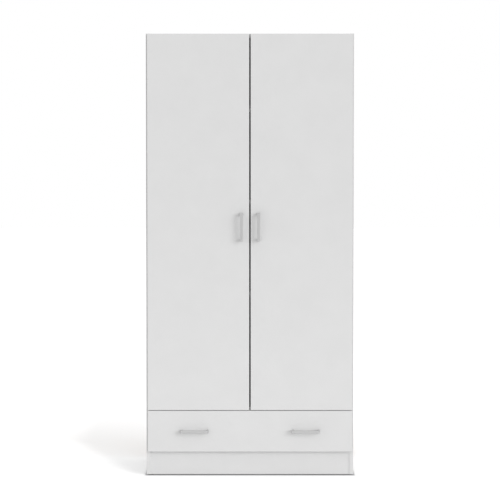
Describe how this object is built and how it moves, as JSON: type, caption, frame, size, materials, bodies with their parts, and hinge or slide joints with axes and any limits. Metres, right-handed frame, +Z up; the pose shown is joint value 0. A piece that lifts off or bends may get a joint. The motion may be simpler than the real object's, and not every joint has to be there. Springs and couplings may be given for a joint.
{
  "type": "wardrobe",
  "caption": "White flat-pack wardrobe: hinged doors over a full-width drawer and plinth, with a hat shelf, a hanging rail and shelves inside.",
  "frame": {"origin": "on the floor, under the middle of the overall box", "axes": "+Z up, doors face -Y, +X to the right of someone facing the doors"},
  "size_m": [0.845, 0.5308, 1.8],
  "materials": {
    "white_board": "satin white melamine foil",
    "drawer_board": "matt white melamine foil",
    "hardboard": "white painted face, brown rear",
    "satin_handle": "satin grey",
    "hinge_steel": "nickel plated",
    "zinc_fitting": "bright zinc",
    "white_rail": "white epoxy coat",
    "chrome_tube": "polished",
    "screw_steel": "zinc plated",
    "white_plastic": "matt",
    "glide_nylon": "matt",
    "clear_pad": "soft clear",
    "beech": "raw"
  },
  "bodies": {
    "carcass": {"left_side_panel": "white_board", "right_side_panel": "white_board", "top_panel": "white_board", "cabinet_floor": "white_board", "base_panel": "white_board", "hat_shelf": "white_board", "partition_panel": "white_board", "upper_shelf": "white_board", "lower_shelf": "white_board", "plinth_front": "white_board", "plinth_rear": "white_board", "back_panel_left": "hardboard", "back_panel_right": "hardboard", "left_hinge_arms": "hinge_steel", "right_hinge_arms": "hinge_steel", "left_hinge_plates": "hinge_steel", "right_hinge_plates": "hinge_steel", "carcass_cam_locks": "zinc_fitting", "carcass_cam_bolts": "zinc_fitting", "wall_brackets": "zinc_fitting", "left_cabinet_rail": "white_rail", "right_cabinet_rail": "white_rail", "hanging_rail": "chrome_tube", "back_panel_nails": "screw_steel", "fitting_screws": "screw_steel", "hinge_plate_screws": "screw_steel", "cabinet_rail_screws": "screw_steel", "shelf_pins": "screw_steel", "back_joint_strip": "white_plastic", "rail_sockets": "white_plastic", "floor_glides": "glide_nylon", "door_bumpers": "clear_pad", "carcass_dowels": "beech"},
    "left_door": {"left_door_panel": "white_board", "left_door_handle": "satin_handle", "left_handle_screws": "screw_steel", "left_hinge_cups": "hinge_steel", "left_cup_screws": "screw_steel"},
    "right_door": {"right_door_panel": "white_board", "right_door_handle": "satin_handle", "right_handle_screws": "screw_steel", "right_hinge_cups": "hinge_steel", "right_cup_screws": "screw_steel"},
    "drawer": {"drawer_front": "white_board", "drawer_left_side": "drawer_board", "drawer_right_side": "drawer_board", "drawer_back": "drawer_board", "drawer_bottom": "hardboard", "drawer_left_handle": "satin_handle", "drawer_right_handle": "satin_handle", "drawer_handle_screws": "screw_steel", "left_drawer_rail": "white_rail", "right_drawer_rail": "white_rail", "drawer_screws": "screw_steel", "drawer_cam_locks": "zinc_fitting", "drawer_cam_bolts": "zinc_fitting", "drawer_dowels": "beech"},
    "front_rollers": {"cabinet_rollers": "white_plastic"},
    "rear_rollers": {"drawer_rollers": "white_plastic"}
  },
  "joints": [
    {"name": "left_door_swing", "type": "hinge", "parent": "carcass", "child": "left_door", "pos_m": [-0.4098, -0.2299, 1.0334], "axis": [0, 0, -1], "range_deg": [0, 105]},
    {"name": "right_door_swing", "type": "hinge", "parent": "carcass", "child": "right_door", "pos_m": [0.4098, -0.2299, 1.0334], "axis": [0, 0, 1], "range_deg": [0, 105]},
    {"name": "drawer_slide", "type": "slide", "parent": "carcass", "child": "drawer", "axis": [0, -1, 0], "range_m": [0, 0.33]},
    {"name": "front_roller_turn", "type": "hinge", "parent": "carcass", "child": "front_rollers", "pos_m": [0, -0.2044, 0.1331], "axis": [1, 0, 0], "continuous": true},
    {"name": "rear_roller_turn", "type": "hinge", "parent": "drawer", "child": "rear_rollers", "pos_m": [0, 0.1886, 0.1325], "axis": [1, 0, 0], "continuous": true}
  ],
  "couplings": [
    {"joint": "front_roller_turn", "follows": "drawer_slide", "rad_per_m": 125},
    {"joint": "rear_roller_turn", "follows": "drawer_slide", "rad_per_m": 142.86}
  ]
}
